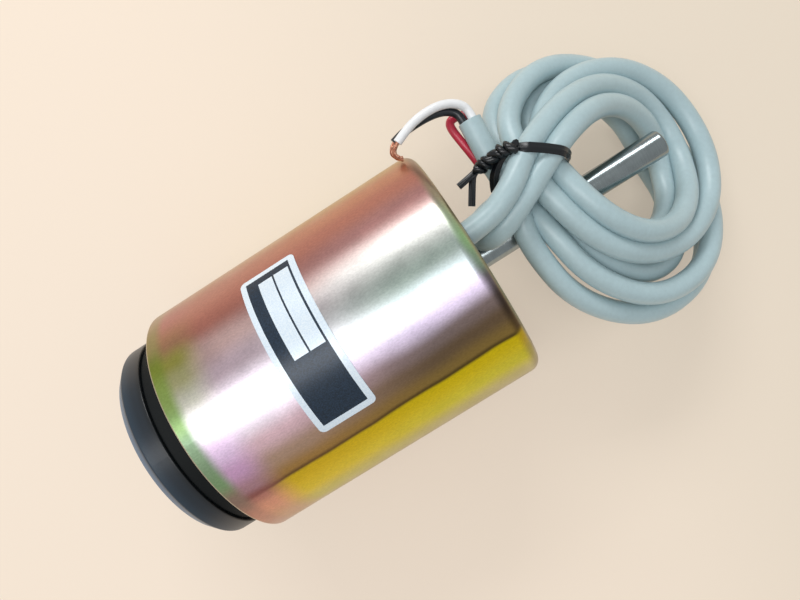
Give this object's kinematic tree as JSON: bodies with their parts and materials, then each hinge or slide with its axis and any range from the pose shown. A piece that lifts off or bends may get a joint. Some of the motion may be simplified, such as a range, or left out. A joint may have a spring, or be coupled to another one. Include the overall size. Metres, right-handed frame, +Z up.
{
  "type": "tubular push solenoid",
  "caption": "Tubular push solenoid: plated steel case with a long plain rod out of the front, a black end cap on the plunger and a coiled lead with bare core ends.",
  "frame": {"origin": "centre of the four fixing holes, on the rod's axis, in the plane of the case's front face", "axes": "+X along the rod, out of the front face; +Z up as the solenoid lies on its side, with the label on top; the table is the plane Z = -0.035"},
  "size_m": [0.1861, 0.084, 0.0702],
  "materials": {
    "zinc_plate": "drawn steel, zinc plated and yellow passivated, iridescent satin",
    "pole_steel": "turned low-carbon steel, thin zinc plate",
    "bronze": "oil-filled sintered bronze",
    "brass": "drawn brass",
    "nylon": "moulded glass-filled nylon",
    "copper": "copper wire",
    "tape": "polyester film tape",
    "black_rubber": "moulded rubber, matt",
    "sleeve": "heat-shrink sleeve",
    "label_film": "printed metallised film",
    "grey_pvc": "grey PVC jacket",
    "core_white": "white PVC",
    "core_black": "black PVC",
    "core_red": "red PVC",
    "tie_black": "plastic coated wire tie",
    "ground_steel": "ground and polished steel",
    "spring_steel": "spring steel",
    "cap_black": "moulded slate-black plastic, satin",
    "screw_steel": "black oxide steel"
  },
  "bodies": {
    "housing": {"case_can": "zinc_plate", "front_pole": "pole_steel", "front_bush": "bronze", "stop_shim": "brass", "guide_tube": "brass", "bobbin": "nylon", "winding": "copper", "winding_tape": "tape", "rear_plate": "pole_steel", "rear_bush": "bronze", "lead_grommet": "black_rubber", "splice_sleeves": "sleeve", "inner_cores": "core_white", "rating_label": "label_film", "cable_lead": "grey_pvc", "cable_coil": "grey_pvc", "cable_tail": "grey_pvc", "core_white": "core_white", "core_black": "core_black", "core_red": "core_red", "bare_strands": "copper", "twist_tie": "tie_black"},
    "plunger_unit": {"plunger": "pole_steel", "push_rod": "ground_steel", "rod_pin": "spring_steel", "cushion_ring": "black_rubber", "rear_cap": "cap_black", "cap_washer": "screw_steel", "cap_screw": "screw_steel"}
  },
  "joints": [
    {"name": "plunger_slide", "type": "slide", "parent": "housing", "child": "plunger_unit", "axis": [1, 0, 0], "range_m": [-0.01, 0]}
  ]
}
